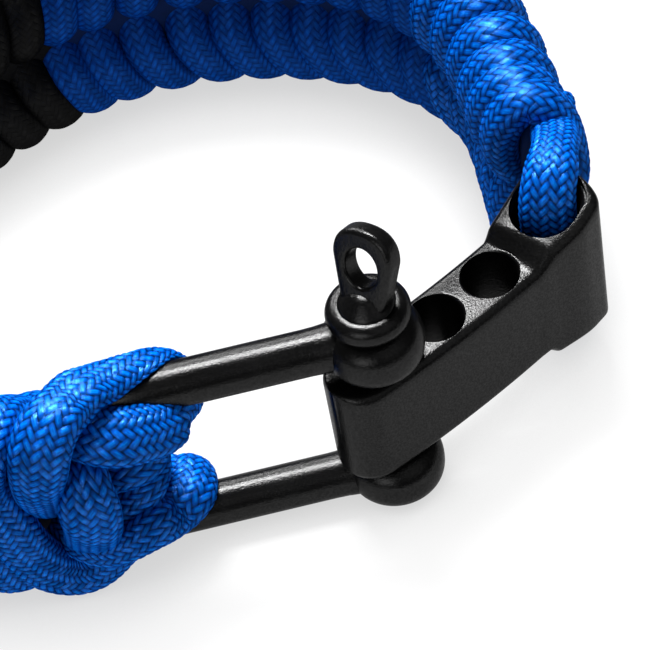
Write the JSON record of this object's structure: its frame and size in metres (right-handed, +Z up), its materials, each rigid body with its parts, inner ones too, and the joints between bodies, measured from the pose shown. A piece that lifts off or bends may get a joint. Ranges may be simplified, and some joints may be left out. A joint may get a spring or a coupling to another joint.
{
  "type": "paracord bracelet",
  "caption": "Woven cord bracelet lying as a closed loop, blue with a black stretch, fastened by a black bow shackle and a curved adjuster bar.",
  "frame": {"origin": "centre of the bracelet's box, on the surface that it lies on", "axes": "+Z up, through the wrist hollow and along the shackle's pin; +X along the loop's long way, from the band's far bend towards the adjuster bar; +Y from the shackle towards the back of the band"},
  "size_m": [0.0823, 0.0636, 0.0314],
  "materials": {
    "black_metal": "satin black coating with a fine grain",
    "blue_cord": "braided nylon sheath with a soft sheen",
    "black_cord": "braided nylon sheath with a soft sheen"
  },
  "bodies": {
    "bracelet": {"adjuster_bar": "black_metal", "shackle_bow": "black_metal", "bar_loop": "blue_cord", "band_blue_bar_side": "blue_cord", "band_black_middle": "black_cord", "band_blue_shackle_side": "blue_cord", "shackle_knot": "blue_cord"},
    "pin": {"shackle_pin": "black_metal"}
  },
  "joints": [
    {"name": "pin_withdraw", "type": "slide", "parent": "bracelet", "child": "pin", "axis": [0, 0, 1], "range_m": [0, 0.0235]}
  ]
}
